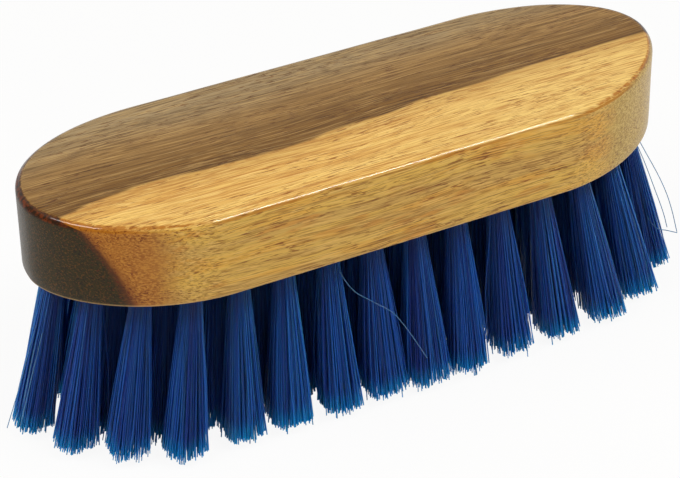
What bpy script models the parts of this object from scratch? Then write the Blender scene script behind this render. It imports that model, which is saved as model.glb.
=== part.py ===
"""Mane brush: a lacquered hardwood block with slanted blind holes, and one filament tuft in each.

The brush stands on its bristle tips. The origin is on the floor under the middle of the block,
+X runs along the block, -Y is the front with the pale sapwood, and +Z is up. Sizes are in metres.
"""

import math
import random

import bmesh
import bpy
from mathutils import Matrix, Vector

# Block
BLOCK_LENGTH = 0.180
BLOCK_WIDTH = 0.060
BLOCK_HEIGHT = 0.023
END_LENGTH = 0.0425
TOP_ROUND = 0.002
BOTTOM_BREAK = 0.0006
# How full the corners of the outline are: 2 is an ellipse, more is squarer, less is slimmer
REAR_FULLNESS = 2.2
FRONT_FULLNESS = 1.8
# The right-hand end is a little longer than the left one, and its tip lies behind the middle
RIGHT_END_EXTRA = 0.001
RIGHT_TIP_BEHIND = 0.004
RIGHT_REAR_FULLNESS = 2.0
CORNER_STEPS = 14
ROUND_STEPS = 3
SMOOTH_BELOW = math.radians(35)

# Holes, in two rings that follow the outline and one row along the middle
HOLE_DIAMETER = 0.0052
HOLE_DEPTH = 0.014
EDGE_MARGIN = 0.0075
RING_STEP = 0.010
OUTER_TUFTS = 30
INNER_TUFTS = 24
MIDDLE_TUFTS = 4
END_LEAN = math.radians(9.5)
SIDE_LEAN = math.radians(6)
CUTTER_OVERRUN = 0.003
RING_STEPS = 90

# Tufts
BRISTLE_LENGTH = 0.047
SEAT_CLEARANCE = 0.0003
KNOT_PROUD = 0.0005
KNOT_FOLD = 0.0010
STRANDS_IN_TUFT = 8
ROOT_GAP = 0.00036
TIP_GAP = 0.0006
TIP_THICKNESS_SHARE = 1.3
CORE_SPREAD_SHARE = 0.5
RAGGED = 0.003
RAGGED_SEED = 11


def material(name, colour, roughness):
    made = bpy.data.materials.new(name)
    made.use_nodes = True
    shader = made.node_tree.nodes["Principled BSDF"]
    shader.inputs["Base Color"].default_value = (*colour, 1)
    shader.inputs["Roughness"].default_value = roughness
    shader.inputs["Metallic"].default_value = 0
    made.diffuse_color = (*colour, 1)
    return made


def add_object(name, bm, finish):
    mesh = bpy.data.meshes.new(name)
    bm.to_mesh(mesh)
    bm.free()
    mesh.materials.append(finish)
    mesh.shade_smooth()
    mesh.set_sharp_from_angle(angle=SMOOTH_BELOW)
    obj = bpy.data.objects.new(name, mesh)
    bpy.context.scene.collection.objects.link(obj)
    return obj


def corner(steps, fullness, inset, extra=0, tip=0):
    """A quarter of the plan outline, from an end's tip, which may lie off the middle, to a long side."""
    straight = BLOCK_LENGTH / 2 - END_LENGTH
    points = []
    for step in range(steps + 1):
        angle = step / steps * math.pi / 2
        along = math.cos(angle) ** (2 / fullness)
        across = math.sin(angle) ** (2 / fullness)
        x = straight + (END_LENGTH + extra - inset) * along
        points.append(Vector((x, tip + (BLOCK_WIDTH / 2 - tip - inset) * across)))
    return points


def outline(steps, inset=0):
    """The even plan outline moved in by inset, anticlockwise from the right end of the front side."""
    rear = corner(steps, REAR_FULLNESS, inset)
    front = corner(steps, FRONT_FULLNESS, inset)
    loop = [Vector((p.x, -p.y)) for p in reversed(front)]
    loop += rear[1:]
    loop += [Vector((-p.x, p.y)) for p in reversed(rear)]
    loop += [Vector((-p.x, -p.y)) for p in front[1:]]
    return loop


def block_outline(steps):
    """The block's own outline: the even one, with the right-hand end's own two quarters."""
    rear = corner(steps, RIGHT_REAR_FULLNESS, 0, RIGHT_END_EXTRA, RIGHT_TIP_BEHIND)
    front = corner(steps, FRONT_FULLNESS, 0, RIGHT_END_EXTRA, -RIGHT_TIP_BEHIND)
    right_end = [Vector((p.x, -p.y)) for p in reversed(front)] + rear[1:]
    return right_end + outline(steps)[len(right_end):]


def ring_places(inset, count):
    """Equal steps round the outline moved in by inset, alike to the left and to the right."""
    front_middle = Vector((0, inset - BLOCK_WIDTH / 2))
    walk = [front_middle] + outline(RING_STEPS, inset) + [front_middle]
    lengths = [(b - a).length for a, b in zip(walk, walk[1:])]
    pitch = sum(lengths) / count
    places = []
    walked = 0
    for a, b, length in zip(walk, walk[1:], lengths):
        while len(places) < count and (len(places) + 0.5) * pitch <= walked + length:
            part_way = ((len(places) + 0.5) * pitch - walked) / length
            places.append(a.lerp(b, part_way))
        walked += length
    return places


def middle_places(inset, count):
    """Equal steps along the middle of the block, as far as the outline moved in by inset."""
    reach = BLOCK_LENGTH / 2 - inset
    return [Vector((reach * ((2 * step + 1) / count - 1), 0)) for step in range(count)]


def tuft_axis(place):
    """Direction from a hole's mouth to the tips: straight down in the middle, outwards at the rim."""
    along = place.x / (BLOCK_LENGTH / 2 - EDGE_MARGIN)
    across = place.y / (BLOCK_WIDTH / 2 - EDGE_MARGIN)
    return Vector((math.tan(END_LEAN) * along, math.tan(SIDE_LEAN) * across, -1))


def tuft_frame(place):
    """Placement of a tuft: its origin at the hole's mouth, its local +Z up the hole."""
    turn = (-tuft_axis(place)).to_track_quat("Z", "Y")
    return Matrix.Translation((place.x, place.y, BRISTLE_LENGTH)) @ turn.to_matrix().to_4x4()


def hole_cutter(places, finish):
    """One blind hole for each tuft, slanted as its tuft leans, as a single cutting tool."""
    bm = bmesh.new()
    sides = STRANDS_IN_TUFT
    radius = HOLE_DIAMETER / 2 / math.cos(math.pi / sides)
    height = HOLE_DEPTH + CUTTER_OVERRUN
    for place in places:
        upwards = Matrix.Translation((0, 0, height / 2 - CUTTER_OVERRUN))
        bmesh.ops.create_cone(bm, cap_ends=True, segments=sides, radius1=radius, radius2=radius,
                              depth=height, matrix=tuft_frame(place) @ upwards)
    cutter = add_object("tuft_hole_cutter", bm, finish)
    cutter.hide_render = True
    cutter.display_type = "WIRE"
    return cutter


def brush_block(cutter, finish):
    """The solid wooden block: its outline raised, both rims eased, and the holes drilled from below."""
    bm = bmesh.new()
    lower = [bm.verts.new((p.x, p.y, BRISTLE_LENGTH)) for p in block_outline(CORNER_STEPS)]
    underside = bm.faces.new(lower)
    raised = bmesh.ops.extrude_face_region(bm, geom=[underside])["geom"]
    upper = [item for item in raised if isinstance(item, bmesh.types.BMVert)]
    bmesh.ops.translate(bm, verts=upper, vec=(0, 0, BLOCK_HEIGHT))
    bmesh.ops.recalc_face_normals(bm, faces=bm.faces)
    weight = bm.edges.layers.float.new("bevel_weight_edge")
    for edge in bm.edges:
        rim = [vert in upper for vert in edge.verts]
        if all(rim):
            edge[weight] = 1
        elif not any(rim):
            edge[weight] = BOTTOM_BREAK / TOP_ROUND
    block = add_object("brush_block", bm, finish)
    rims = block.modifiers.new("rounded_rims", "BEVEL")
    rims.limit_method = "WEIGHT"
    rims.width = TOP_ROUND
    rims.segments = ROUND_STEPS
    holes = block.modifiers.new("tuft_holes", "BOOLEAN")
    holes.operation = "DIFFERENCE"
    holes.solver = "EXACT"
    holes.object = cutter
    return block


def half_gap_between_tufts(places):
    """Half of the least distance between two tufts' middles at the floor: the room that a fan has."""
    tips = [place + tuft_axis(place).xy * BRISTLE_LENGTH for place in places]
    return min((a - b).length for i, a in enumerate(tips) for b in tips[:i]) / 2


def tuft(name, place, room, rng, finish):
    """A bundle folded over its anchor: the knot in the hole, and strands that fan out to the floor."""
    frame = tuft_frame(place)
    floor_middle = place.to_3d() + BRISTLE_LENGTH * tuft_axis(place).xy.to_3d()
    radius = HOLE_DIAMETER / 2 - SEAT_CLEARANCE
    shank = HOLE_DEPTH - SEAT_CLEARANCE - KNOT_FOLD + KNOT_PROUD
    bm = bmesh.new()
    bmesh.ops.create_cone(bm, cap_ends=True, cap_tris=True, segments=STRANDS_IN_TUFT, radius1=radius,
                          radius2=radius, depth=shank,
                          matrix=Matrix.Translation((0, 0, shank / 2 - KNOT_PROUD)))
    bm.normal_update()
    fold = [face for face in bm.faces if face.normal.z > 0.9]
    roots = [face for face in bm.faces if face.normal.z < -0.9]
    bmesh.ops.inset_region(bm, faces=fold, thickness=KNOT_FOLD, depth=KNOT_FOLD, use_even_offset=True)
    bmesh.ops.inset_individual(bm, faces=roots, thickness=ROOT_GAP / 2, use_even_offset=True)
    strands = bmesh.ops.extrude_discrete_faces(bm, faces=roots)["faces"]
    for index, strand in enumerate(strands):
        in_core = index % 2 == 1
        root = strand.calc_center_median()
        half_thickness = TIP_THICKNESS_SHARE * max((vert.co - root).length for vert in strand.verts)
        spread = (room - TIP_GAP / 2 - half_thickness) * (CORE_SPREAD_SHARE if in_core else 1)
        outwards = (frame.to_3x3() @ root.xy.to_3d()).xy.normalized().to_3d()
        fall = floor_middle + outwards * spread - frame @ root
        tip_height = rng.uniform(0, RAGGED) if in_core else 0
        for vert in strand.verts:
            start = frame @ root.lerp(vert.co, TIP_THICKNESS_SHARE)
            vert.co = frame.inverted() @ (start + fall * (tip_height - start.z) / fall.z)
    obj = add_object(name, bm, finish)
    obj.matrix_world = frame
    return obj


for old in list(bpy.data.objects):
    bpy.data.objects.remove(old, do_unlink=True)

lacquered_hardwood = material("lacquered_hardwood", (0.50, 0.30, 0.11), 0.30)
blue_filament = material("blue_filament", (0.012, 0.075, 0.33), 0.35)
tool_grey = material("tool_grey", (0.5, 0.5, 0.5), 0.5)

rows = {
    "outer_tuft": ring_places(EDGE_MARGIN, OUTER_TUFTS),
    "inner_tuft": ring_places(EDGE_MARGIN + RING_STEP, INNER_TUFTS),
    "middle_tuft": middle_places(EDGE_MARGIN + 2 * RING_STEP, MIDDLE_TUFTS),
}
every_place = [place for row in rows.values() for place in row]

brush_block(hole_cutter(every_place, tool_grey), lacquered_hardwood)

tuft_room = half_gap_between_tufts(every_place)
ragged = random.Random(RAGGED_SEED)
for row_name, row in rows.items():
    for number, hole_place in enumerate(row, start=1):
        tuft(f"{row_name}_{number:02d}", hole_place, tuft_room, ragged, blue_filament)
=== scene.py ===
# %% [markdown]
# A mane brush is a small grooming brush for long hair: a hand-sized wooden block, lacquered, with
# tufts of plastic filament in rings of drilled holes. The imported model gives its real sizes.
# This lesson keeps those sizes and makes the looks: the two-tone wood and the fanned filaments.

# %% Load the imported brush
import math
import random

import bmesh
import bpy
from mathutils import Matrix, Vector, noise


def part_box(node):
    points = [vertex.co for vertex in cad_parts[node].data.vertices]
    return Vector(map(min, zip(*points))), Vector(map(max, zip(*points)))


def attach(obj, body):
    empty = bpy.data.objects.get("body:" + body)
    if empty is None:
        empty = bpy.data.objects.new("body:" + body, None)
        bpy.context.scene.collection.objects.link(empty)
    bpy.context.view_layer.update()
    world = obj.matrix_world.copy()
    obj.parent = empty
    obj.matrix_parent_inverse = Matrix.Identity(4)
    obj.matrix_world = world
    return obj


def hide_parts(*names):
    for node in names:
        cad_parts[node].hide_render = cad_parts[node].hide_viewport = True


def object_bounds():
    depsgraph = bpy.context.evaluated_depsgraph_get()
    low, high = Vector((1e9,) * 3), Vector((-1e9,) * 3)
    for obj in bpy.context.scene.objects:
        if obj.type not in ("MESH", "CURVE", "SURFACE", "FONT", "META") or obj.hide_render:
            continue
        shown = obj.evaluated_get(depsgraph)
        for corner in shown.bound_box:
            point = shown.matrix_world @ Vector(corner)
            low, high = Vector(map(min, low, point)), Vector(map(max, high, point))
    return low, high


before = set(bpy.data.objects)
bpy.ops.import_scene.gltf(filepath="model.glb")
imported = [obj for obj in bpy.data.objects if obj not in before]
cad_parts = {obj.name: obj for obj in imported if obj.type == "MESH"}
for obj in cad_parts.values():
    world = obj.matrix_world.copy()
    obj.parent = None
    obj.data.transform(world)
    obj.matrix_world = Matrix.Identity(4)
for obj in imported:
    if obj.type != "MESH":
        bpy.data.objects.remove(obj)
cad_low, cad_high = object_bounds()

TUFTS = sorted(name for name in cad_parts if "tuft" in name)
block_low, block_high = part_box("brush_block")
print(len(TUFTS), "tufts; the block is", [round(size, 4) for size in block_high - block_low], "m")

# %% [markdown]
# The camera comes first, because every later choice is judged through it. A product photograph is
# taken from a little way off with a long lens, so the focal length here is long for the frame. A
# direction is given as an azimuth and an elevation, which one function turns into a rotation.

# %% Place the camera
FRAME_WIDTH_PIXELS = 680
FOCAL_PIXELS = 2600
SENSOR_WIDTH = 36
CAMERA_AZIMUTH = math.radians(-27.12)
CAMERA_ELEVATION = math.radians(34.09)
CAMERA_ROLL = math.radians(-0.86)
CAMERA_DISTANCE = 0.67928
CAMERA_AIM = Vector((-0.00628, -0.00554, 0.03547))


def looking(azimuth, elevation, roll=0):
    """Rotation of a camera or lamp that looks at the brush from an azimuth and an elevation."""
    turn = Matrix.Rotation(azimuth, 3, "Z")
    tilt = Matrix.Rotation(math.pi / 2 - elevation, 3, "X")
    return turn @ tilt @ Matrix.Rotation(roll, 3, "Z")


def add_object(name, data):
    obj = bpy.data.objects.new(name, data)
    bpy.context.scene.collection.objects.link(obj)
    return obj


def stand(name, data, azimuth, elevation, distance, roll=0):
    """Puts a camera or a lamp at that distance from the aim, facing it."""
    rotation = looking(azimuth, elevation, roll)
    obj = add_object(name, data)
    place = Matrix.Translation(CAMERA_AIM + rotation @ Vector((0, 0, distance)))
    obj.matrix_world = place @ rotation.to_4x4()
    return obj


lens = bpy.data.cameras.new("studio_camera")
lens.sensor_width = SENSOR_WIDTH
lens.lens = FOCAL_PIXELS / FRAME_WIDTH_PIXELS * SENSOR_WIDTH
lens.clip_start = 0.01
camera = stand("studio_camera", lens, CAMERA_AZIMUTH, CAMERA_ELEVATION, CAMERA_DISTANCE, CAMERA_ROLL)
bpy.context.scene.camera = camera
bpy.context.scene.view_settings.view_transform = "Standard"
print("camera lens", round(lens.lens, 2), "mm")

# %% [markdown]
# Materials and Geometry Nodes are both trees of nodes. Adding each node by hand takes four or five
# lines, so a small helper adds a node, sets it and joins its inputs in one call. Colours are given
# as a display shows them, from 0 to 255, and turned into the linear values that a shader needs.
# Two calls carry most of the painting: one lays a colour over another through a mask, and one
# makes a mask that is open between two limits.

# %% Helpers for node trees
NODE_STEP = 170


class Bench:
    """Adds nodes to one tree and joins them, so that a step reads like a line of arithmetic."""

    def __init__(self, tree):
        self.tree = tree

    def feed(self, socket, value):
        if isinstance(value, bpy.types.NodeSocket):
            self.tree.links.new(value, socket)
        else:
            socket.default_value = value

    def put(self, kind, inputs=None, **settings):
        node = self.tree.nodes.new(kind)
        node.location = (len(self.tree.nodes) * NODE_STEP, 0)
        for name, value in settings.items():
            setattr(node, name, value)
        for name, value in (inputs or {}).items():
            self.feed(node.inputs[name], value)
        return node

    def math(self, operation, a, b=0.0):
        return self.put("ShaderNodeMath", {0: a, 1: b}, operation=operation).outputs[0]

    def times(self, a, b):
        return self.math("MULTIPLY", a, b)

    def divided(self, a, b):
        return self.math("DIVIDE", a, b)

    def plus(self, a, b):
        return self.math("ADD", a, b)

    def minus(self, a, b):
        return self.math("SUBTRACT", a, b)

    def larger(self, a, b):
        return self.math("MAXIMUM", a, b)

    def vector(self, operation, a, b=(0, 0, 0)):
        return self.put("ShaderNodeVectorMath", {0: a, 1: b}, operation=operation).outputs[0]

    def split(self, vector):
        return self.put("ShaderNodeSeparateXYZ", {0: vector}).outputs

    def joined(self, x=0.0, y=0.0, z=0.0):
        return self.put("ShaderNodeCombineXYZ", {0: x, 1: y, 2: z}).outputs[0]

    def scaled(self, vector, scale):
        return self.put("ShaderNodeVectorMath", {0: vector, 3: scale}, operation="SCALE").outputs[0]

    def remap(self, value, low, high, to_low=0.0, to_high=1.0):
        inputs = {0: value, 1: low, 2: high, 3: to_low, 4: to_high}
        return self.put("ShaderNodeMapRange", inputs, interpolation_type="SMOOTHSTEP").outputs[0]

    def remap_evenly(self, value, low, high, to_low=0.0, to_high=1.0):
        inputs = {0: value, 1: low, 2: high, 3: to_low, 4: to_high}
        return self.put("ShaderNodeMapRange", inputs).outputs[0]

    def window(self, value, rise, fall):
        """1 between two limits and 0 beyond them. Each limit is a pair that it eases between."""
        return self.times(self.remap(value, rise[0], rise[1]), self.remap(value, fall[1], fall[0]))

    def mix(self, factor, a, b, blend="MIX"):
        inputs = {0: factor, 6: a, 7: b}
        return self.put("ShaderNodeMix", inputs, data_type="RGBA", blend_type=blend).outputs[2]

    def lay(self, under, colour, mask, share, blend="MIX"):
        """Lays a colour over another through a mask, at a share of its full strength."""
        return self.mix(self.times(mask, share), under, colour, blend)


def linear(level):
    """A display level from 0 to 255 as the linear value that it stands for."""
    share = level / 255
    return share / 12.92 if share <= 0.04045 else ((share + 0.055) / 1.055) ** 2.4


def paint(red, green, blue):
    return (linear(red), linear(green), linear(blue), 1)


def new_group(name, numbers, result, kind):
    """A shader node group that takes a vector and some named numbers, and gives one result."""
    tree = bpy.data.node_groups.new(name, "ShaderNodeTree")
    tree.interface.new_socket("Vector", in_out="INPUT", socket_type="NodeSocketVector")
    for title in numbers:
        tree.interface.new_socket(title, in_out="INPUT", socket_type="NodeSocketFloat")
    tree.interface.new_socket(result, in_out="OUTPUT", socket_type=kind)
    bench = Bench(tree)
    return bench, bench.put("NodeGroupInput").outputs, bench.put("NodeGroupOutput").inputs[result]


def new_material(name):
    """An empty material, and the bench to fill it on."""
    made = bpy.data.materials.new(name)
    made.use_nodes = True
    made.node_tree.nodes.clear()
    return made, Bench(made.node_tree)


print("white paint is", paint(255, 255, 255))

# %% [markdown]
# The brush was photographed on a white sweep under two softboxes. The camera sees the white floor
# and surroundings directly, so Light Path sets those to a strength of 1 for camera, glossy and
# transmission rays alone, while the brush itself is lit at a plainer level. Part of the floor stays
# a diffuse surface, which keeps the soft shadow. The room behind the camera is dimmer than the
# sweep and cream in colour, and the lacquer mirrors that, so the front of the wood stays deep and
# warm. The sweep also gives more light from behind, which shines through the filaments' edges.

# %% Light the studio
AMBIENT = 0.36
BACKLIGHT_SHARE = 0.5
BACKLIGHT_TURN = (-0.5, 0.5)
# How bright the lacquer sees the room, the ceiling and the left, where the sweep is 1
ROOM_GLOSS = 0.25
CEILING_GLOSS = 0.58
LEFT_GLOSS = 0.35
# Between which directions each of them takes over: 1 is straight behind, up or to the right
ROOM_TURN = (-0.4, 0.1)
CEILING_TURN = (0.15, 0.55)
LEFT_TURN = (-0.85, -0.30)
CREAM_WALL = paint(255, 240, 208)
FLOOR_GLOW_SHARE = 0.92
FLOOR_SIZE = 6.0
FLOOR_DROP = 0.0002
FLOOR_PAINT = paint(238, 238, 238)
# Name, azimuth and elevation in degrees, distance, width and height in metres, power in watts
SOFTBOXES = (("key_softbox", 39, 58, 0.80, 0.50, 0.075, 3.3),
             ("fill_softbox", -88, 50, 0.80, 0.46, 0.09, 2.5))


def backdrop_rays(bench):
    """1 for rays that meet the white sweep itself, and 1 for those of the camera alone."""
    path = bench.put("ShaderNodeLightPath").outputs
    seen = bench.larger(path["Is Camera Ray"], path["Is Glossy Ray"])
    return bench.larger(seen, path["Is Transmission Ray"]), path["Is Camera Ray"]


def studio_world():
    world = bpy.data.worlds.new("white_sweep")
    world.use_nodes = True
    world.node_tree.nodes.clear()
    bench = Bench(world.node_tree)
    seen, by_camera = backdrop_rays(bench)
    direction = bench.put("ShaderNodeTexCoord").outputs["Generated"]
    toward = bench.split(direction)
    behind = bench.remap(toward["Y"], *ROOM_TURN, ROOM_GLOSS, 1.0)
    low_down = bench.remap(toward["Z"], *CEILING_TURN, 1.0, CEILING_GLOSS)
    low_down = bench.times(low_down, bench.remap(toward["X"], *LEFT_TURN, LEFT_GLOSS, 1.0))
    sweep = bench.larger(bench.times(behind, low_down), by_camera)
    plain_light = (AMBIENT * (1 - BACKLIGHT_SHARE), AMBIENT * (1 + BACKLIGHT_SHARE))
    ambient = bench.remap(toward["Y"], *BACKLIGHT_TURN, *plain_light)
    strength = bench.put("ShaderNodeMix", {0: seen, 2: ambient, 3: sweep}, data_type="FLOAT").outputs[0]
    colour = bench.mix(bench.remap(sweep, ROOM_GLOSS, 1.0), CREAM_WALL, (1, 1, 1, 1))
    white = bench.put("ShaderNodeBackground", {"Color": colour, "Strength": strength})
    bench.put("ShaderNodeOutputWorld", {"Surface": white.outputs[0]})
    bpy.context.scene.world = world


def studio_floor():
    mesh = bpy.data.meshes.new("white_floor")
    half = FLOOR_SIZE / 2
    square = ((-half, -half), (half, -half), (half, half), (-half, half))
    corners = [(x, y, -FLOOR_DROP) for x, y in square]
    mesh.from_pydata(corners, [], [(0, 1, 2, 3)])
    finish, bench = new_material("white_floor")
    seen, _ = backdrop_rays(bench)
    matt = bench.put("ShaderNodeBsdfDiffuse", {"Color": FLOOR_PAINT})
    glow = bench.put("ShaderNodeEmission", {"Color": (1, 1, 1, 1), "Strength": 1})
    share = bench.times(seen, FLOOR_GLOW_SHARE)
    both = bench.put("ShaderNodeMixShader", {0: share, 1: matt.outputs[0], 2: glow.outputs[0]})
    bench.put("ShaderNodeOutputMaterial", {"Surface": both.outputs[0]})
    mesh.materials.append(finish)
    add_object("white_floor", mesh)


def softbox(name, azimuth, elevation, distance, width, height, power):
    """An area lamp that faces the brush."""
    lamp = bpy.data.lights.new(name, "AREA")
    lamp.shape = "RECTANGLE"
    lamp.size = width
    lamp.size_y = height
    lamp.energy = power
    stand(name, lamp, math.radians(azimuth), math.radians(elevation), distance)


studio_world()
studio_floor()
for values in SOFTBOXES:
    softbox(*values)
print(len(SOFTBOXES), "softboxes, ambient level", AMBIENT)

# %% [markdown]
# The block is one piece of hardwood, cut to a rounded outline, with the top rim rounded over and
# the lower rim just eased. It could be an extrusion with a Bevel modifier, but a loft of rings
# gives each ring its own height and inset. So the rim can be a little uneven, as hand sanding
# leaves it, and the light along it breaks up as on a real one. The right-hand end is a little
# longer than the left one and its tip lies behind the middle, so it has quarters of its own.

# %% Loft the wooden block
UNDERSIDE = block_low.z
TOP = block_high.z
# The left-hand end gives the half length, because the right-hand end is longer
HALF_LENGTH = -block_low.x
HALF_WIDTH = block_high.y
END_LENGTH = 0.0425
# How full a corner of the outline is: 2 is an ellipse, more is squarer, less is slimmer
REAR_FULLNESS = 2.2
FRONT_FULLNESS = 1.8
RIGHT_END_EXTRA = 0.001
RIGHT_TIP_BEHIND = 0.004
RIGHT_REAR_FULLNESS = 2.0
TOP_ROUND = 0.002
BOTTOM_BREAK = 0.0006
CAP_MARGIN = 0.0004
CORNER_STEPS = 36
SIDE_STEPS = 30
ROUND_STEPS = 8
BREAK_STEPS = 3
WALL_STEPS = 6
SANDING = 0.00010
SANDING_PITCH = 0.014
SANDING_ON_RIM = 2.5


def quarter(fullness, inset, extra=0, tip=0):
    """A quarter of the outline, from an end's tip, which may lie off the middle, to a long side."""
    straight = HALF_LENGTH - END_LENGTH
    points = []
    for step in range(CORNER_STEPS + 1):
        angle = step / CORNER_STEPS * math.pi / 2
        along = math.cos(angle) ** (2 / fullness)
        across = math.sin(angle) ** (2 / fullness)
        x = straight + (END_LENGTH + extra - inset) * along
        points.append(Vector((x, tip + (HALF_WIDTH - tip - inset) * across)))
    return points


def long_side(start, end):
    """Points between two corners, without the corners themselves."""
    return [start.lerp(end, step / SIDE_STEPS) for step in range(1, SIDE_STEPS)]


def outline(inset):
    """The closed outline moved in by inset, anticlockwise seen from above."""
    rear = quarter(REAR_FULLNESS, inset)
    front = quarter(FRONT_FULLNESS, inset)
    right_rear = quarter(RIGHT_REAR_FULLNESS, inset, RIGHT_END_EXTRA, RIGHT_TIP_BEHIND)
    right_front = quarter(FRONT_FULLNESS, inset, RIGHT_END_EXTRA, -RIGHT_TIP_BEHIND)
    loop = [Vector((p.x, -p.y)) for p in reversed(right_front)] + right_rear[1:]
    loop += long_side(rear[-1], Vector((-rear[-1].x, rear[-1].y)))
    loop += [Vector((-p.x, p.y)) for p in reversed(rear)]
    loop += [Vector((-p.x, -p.y)) for p in front[1:]]
    loop += long_side(Vector((-front[-1].x, -front[-1].y)), Vector((front[-1].x, -front[-1].y)))
    return loop


def block_rings():
    """Pairs of an inset and a height, from the middle of the underside to the middle of the top."""
    rings = [(BOTTOM_BREAK + CAP_MARGIN, UNDERSIDE)]
    for step in range(BREAK_STEPS + 1):
        angle = step / BREAK_STEPS * math.pi / 2
        rings.append((BOTTOM_BREAK * (1 - math.sin(angle)), UNDERSIDE + BOTTOM_BREAK * (1 - math.cos(angle))))
    wall = TOP - TOP_ROUND - UNDERSIDE - BOTTOM_BREAK
    rings += [(0, UNDERSIDE + BOTTOM_BREAK + wall * step / WALL_STEPS) for step in range(1, WALL_STEPS)]
    for step in range(ROUND_STEPS + 1):
        angle = step / ROUND_STEPS * math.pi / 2
        rings.append((TOP_ROUND * (1 - math.cos(angle)), TOP - TOP_ROUND * (1 - math.sin(angle))))
    rings.append((TOP_ROUND + CAP_MARGIN, TOP))
    return rings


def sanded(inset, height, point):
    """A point of a ring, moved in or out a little so that the walls and the top rim aren't perfect."""
    unevenness = SANDING * noise.noise(Vector((point.x, point.y, height)) / SANDING_PITCH)
    on_rim = 1 + SANDING_ON_RIM * unevenness * inset / TOP_ROUND ** 2
    outwards = Vector((point.x / HALF_LENGTH, point.y / HALF_WIDTH)).normalized()
    return (*(point - outwards * (SANDING / 2 + unevenness * on_rim)), height)


def object_from(name, bm):
    mesh = bpy.data.meshes.new(name)
    bm.to_mesh(mesh)
    bm.free()
    return add_object(name, mesh)


def lofted_block():
    bm = bmesh.new()
    rings = []
    for inset, height in block_rings():
        rings.append([bm.verts.new(sanded(inset, height, point)) for point in outline(inset)])
    for lower, upper in zip(rings, rings[1:]):
        for i in range(len(lower)):
            bm.faces.new((lower[i - 1], lower[i], upper[i], upper[i - 1]))
    bm.faces.new(reversed(rings[0]))
    bm.faces.new(rings[-1])
    bmesh.ops.recalc_face_normals(bm, faces=bm.faces)
    return object_from("wooden_block", bm)


block = lofted_block()
print("block lofted from", len(block_rings()), "rings of", len(outline(0)), "points")

# %% [markdown]
# Each tuft is a bundle of filaments folded double over a scrap of wire and punched into a blind
# hole, so the bundle leans as its hole leans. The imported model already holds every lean. The middle
# of each knot and the middle of its tips are read from it, and the line between them gives the
# hole's mouth. The holes are then drilled by a Boolean, as a drill makes them, with their own
# unlacquered finish inside.

# %% Find the tufts and drill their holes
HOLE_RADIUS = 0.0026
HOLE_DEPTH = 0.014
HOLE_SIDES = 24
DRILL_OVERRUN = 0.003
KNOT_BAND = 0.005
TIP_BAND = 0.0001
POINT_GRID = 1e-6


def middle(points):
    """The mean of the different points of a list: loose triangles repeat each corner."""
    different = {tuple(round(value / POINT_GRID) for value in point) for point in points}
    return sum((Vector(point) for point in different), Vector()) * POINT_GRID / len(different)


def tuft_line(name):
    """Where a tuft leaves the block, and where its middle meets the floor."""
    points = [vertex.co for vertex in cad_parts[name].data.vertices]
    knot = middle([p for p in points if p.z > UNDERSIDE + KNOT_BAND])
    floor_middle = middle([p for p in points if p.z < cad_low.z + TIP_BAND])
    mouth = floor_middle.lerp(knot, (UNDERSIDE - floor_middle.z) / (knot.z - floor_middle.z))
    return mouth, floor_middle


lines = {name: tuft_line(name) for name in TUFTS}


def hole_drill():
    """One cutting tool with a round bit for each hole, slanted as its tuft leans."""
    bm = bmesh.new()
    for mouth, floor_middle in lines.values():
        up_hole = (mouth - floor_middle).normalized()
        centre = mouth + up_hole * (HOLE_DEPTH - DRILL_OVERRUN) / 2
        place = Matrix.Translation(centre) @ up_hole.to_track_quat("Z", "Y").to_matrix().to_4x4()
        bmesh.ops.create_cone(bm, cap_ends=True, segments=HOLE_SIDES, radius1=HOLE_RADIUS,
                              radius2=HOLE_RADIUS, depth=HOLE_DEPTH + DRILL_OVERRUN, matrix=place)
    return object_from("hole_drill", bm)


print(len(lines), "holes of", round(HOLE_RADIUS * 2000, 1), "mm")

# %% [markdown]
# Wood is a bundle of long cells. Cut along the grain they show as streaks and short dark pores, and
# cut across it, on the rounded ends, as dots. A noise stretched along the block does both at once,
# because it is solid: the end simply cuts through it. One node group makes such a layer at any
# length and width, and a second one lets the grain wander a little. Both finishes of the block use
# them, the lacquered outside and the bare wood in the holes.

# %% Node groups for wood
FIBRE_DETAIL = 2
FIBRE_ROUGHNESS = 0.55
WANDER_PER_METRE = (14, 45, 45)


def long_fibres_group():
    """Streaks that run along X: a mask from noise stretched to a length and a width in metres."""
    numbers = ("Length", "Width", "Shift", "Low", "High")
    bench, given, mask = new_group("long_fibres", numbers, "Mask", "NodeSocketFloat")
    cell = bench.joined(given["Length"], given["Width"], given["Width"])
    shift = bench.joined(given["Shift"], given["Shift"], given["Shift"])
    moved = bench.vector("ADD", bench.vector("DIVIDE", given["Vector"], cell), shift)
    inputs = {"Vector": moved, "Scale": 1, "Detail": FIBRE_DETAIL, "Roughness": FIBRE_ROUGHNESS}
    streaks = bench.put("ShaderNodeTexNoise", inputs).outputs["Fac"]
    bench.feed(mask, bench.remap(streaks, given["Low"], given["High"]))
    return bench.tree


def wandering_grain_group():
    """Bends straight grain gently, by moving the place that a pattern reads."""
    bench, given, result = new_group("wandering_grain", ("Amount",), "Vector", "NodeSocketVector")
    slow = bench.vector("MULTIPLY", given["Vector"], WANDER_PER_METRE)
    drift = bench.put("ShaderNodeTexNoise", {"Vector": slow, "Scale": 1, "Detail": 1})
    centred = bench.vector("SUBTRACT", drift.outputs["Color"], (0.5, 0.5, 0.5))
    across = bench.vector("MULTIPLY", centred, (0, 1, 1))
    bench.feed(result, bench.vector("ADD", given["Vector"], bench.scaled(across, given["Amount"])))
    return bench.tree


LONG_FIBRES = long_fibres_group()
WANDERING_GRAIN = wandering_grain_group()


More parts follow.
